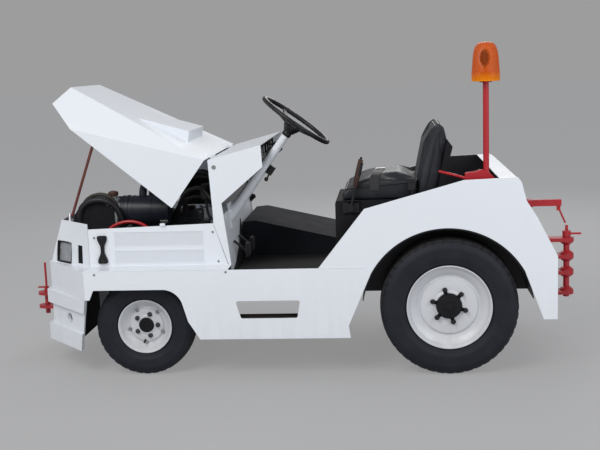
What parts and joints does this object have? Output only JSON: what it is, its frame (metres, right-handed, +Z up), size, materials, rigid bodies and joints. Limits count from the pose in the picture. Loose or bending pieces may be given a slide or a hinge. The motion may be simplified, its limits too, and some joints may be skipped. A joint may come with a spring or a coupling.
{
  "type": "airport baggage tug",
  "caption": "Low four-wheeled tow tractor with open cockpit, propped hood, beacon pole and a stacked drop-pin coupler.",
  "frame": {"origin": "on the ground, midway between the front hook's tip and the rear coupler pin handle's tip, on the centre line", "axes": "+X forward, +Y to the driver's left, +Z up"},
  "size_m": [2.96, 1.246, 1.6],
  "materials": {
    "white_paint": "satin white enamel",
    "black_paint": "satin black enamel",
    "red_paint": "gloss red enamel",
    "rubber_mat": "matt ribbed mat",
    "seat_vinyl": "grained vinyl",
    "black_plastic": "satin",
    "amber_lens": "clear amber plastic",
    "dark_metal": "dull",
    "engine_iron": "oily cast iron",
    "lamp_lens": "ribbed lamp lens",
    "tank_plastic": "translucent grey tank",
    "tyre": "black rubber",
    "rim_paint": "white enamel"
  },
  "bodies": {
    "chassis": {"side_plate_left": "white_paint", "side_plate_right": "white_paint", "chassis_frame": "black_paint", "cross_members": "black_paint", "front_panel": "white_paint", "bumper": "white_paint", "engine_panels": "white_paint", "cowl": "white_paint", "dash": "black_paint", "bulkhead": "white_paint", "floor": "black_paint", "gearbox_cover": "rubber_mat", "rear_deck": "black_paint", "rear_panel": "white_paint", "wheel_houses": "black_paint", "seat_box": "black_paint", "coolant_tank": "tank_plastic", "radiator_hose": "black_plastic", "hood_latches": "black_plastic", "seat_cushion": "seat_vinyl", "seat_back": "seat_vinyl", "beacon_mount": "red_paint", "beacon_lens": "amber_lens", "beacon_reflector": "dark_metal", "engine": "engine_iron", "air_cleaner": "black_plastic", "radiator": "black_paint", "front_hitch": "red_paint", "rear_hitch": "red_paint", "rear_axle": "black_paint", "front_axle": "black_paint", "steering_column": "white_paint", "pedals": "black_paint", "brake_lever": "dark_metal", "headlamps": "lamp_lens"},
    "hood": {"hood": "white_paint"},
    "hood_prop": {"hood_prop": "red_paint"},
    "knuckle_left": {"knuckle_left": "black_paint"},
    "knuckle_right": {"knuckle_right": "black_paint"},
    "tie_rod": {"tie_rod": "black_paint"},
    "steering_wheel": {"steering_wheel": "black_plastic"},
    "hitch_pin": {"hitch_pin": "red_paint"},
    "release_arm": {"release_arm": "red_paint"},
    "wheel_front_left": {"tyre_front_left": "tyre", "rim_front_left": "rim_paint"},
    "wheel_front_right": {"tyre_front_right": "tyre", "rim_front_right": "rim_paint"},
    "wheel_rear_left": {"tyre_rear_left": "tyre", "rim_rear_left": "rim_paint"},
    "wheel_rear_right": {"tyre_rear_right": "tyre", "rim_rear_right": "rim_paint"}
  },
  "joints": [
    {"name": "hood_hinge", "type": "hinge", "parent": "chassis", "child": "hood", "pos_m": [0.415, 0, 1.074], "axis": [0, 1, 0], "range_deg": [0, 40]},
    {"name": "prop_fold", "type": "hinge", "parent": "chassis", "child": "hood_prop", "pos_m": [1.16, 0.312, 0.784], "axis": [1, 0, 0], "range_deg": [0, 120]},
    {"name": "steer_left", "type": "hinge", "parent": "chassis", "child": "knuckle_left", "pos_m": [0.755, 0.394, 0.248], "axis": [0, 0, 1], "range_deg": [-28, 28]},
    {"name": "steer_right", "type": "hinge", "parent": "chassis", "child": "knuckle_right", "pos_m": [0.755, -0.394, 0.248], "axis": [0, 0, 1], "range_deg": [-28, 28]},
    {"name": "tie_rod_pivot", "type": "hinge", "parent": "knuckle_left", "child": "tie_rod", "pos_m": [0.635, 0.394, 0.226], "axis": [0, 0, 1], "range_deg": [-28, 28]},
    {"name": "steering_wheel_turn", "type": "hinge", "parent": "chassis", "child": "steering_wheel", "pos_m": [-0.015, 0.27, 1.241], "axis": [-0.5948, 0, 0.8039], "range_deg": [-448, 448]},
    {"name": "release_lift", "type": "hinge", "parent": "chassis", "child": "release_arm", "pos_m": [-1.212, 0, 0.755], "axis": [0, 1, 0], "range_deg": [0, 38]},
    {"name": "pin_lift", "type": "slide", "parent": "chassis", "child": "hitch_pin", "axis": [0, 0, 1], "range_m": [0, 0.133]},
    {"name": "roll_front_left", "type": "hinge", "parent": "knuckle_left", "child": "wheel_front_left", "pos_m": [0.755, 0.48, 0.248], "axis": [0, 1, 0], "continuous": true},
    {"name": "roll_front_right", "type": "hinge", "parent": "knuckle_right", "child": "wheel_front_right", "pos_m": [0.755, -0.48, 0.248], "axis": [0, 1, 0], "continuous": true},
    {"name": "roll_rear_left", "type": "hinge", "parent": "chassis", "child": "wheel_rear_left", "pos_m": [-0.755, 0.503, 0.335], "axis": [0, 1, 0], "continuous": true},
    {"name": "roll_rear_right", "type": "hinge", "parent": "chassis", "child": "wheel_rear_right", "pos_m": [-0.755, -0.503, 0.335], "axis": [0, 1, 0], "continuous": true}
  ],
  "couplings": [
    {"joint": "prop_fold", "follows": "hood_hinge", "ratio": 2.95},
    {"joint": "steer_right", "follows": "steer_left", "ratio": 1},
    {"joint": "tie_rod_pivot", "follows": "steer_left", "ratio": -1},
    {"joint": "steering_wheel_turn", "follows": "steer_left", "ratio": 16},
    {"joint": "pin_lift", "follows": "release_lift", "m_per_rad": 0.199}
  ]
}
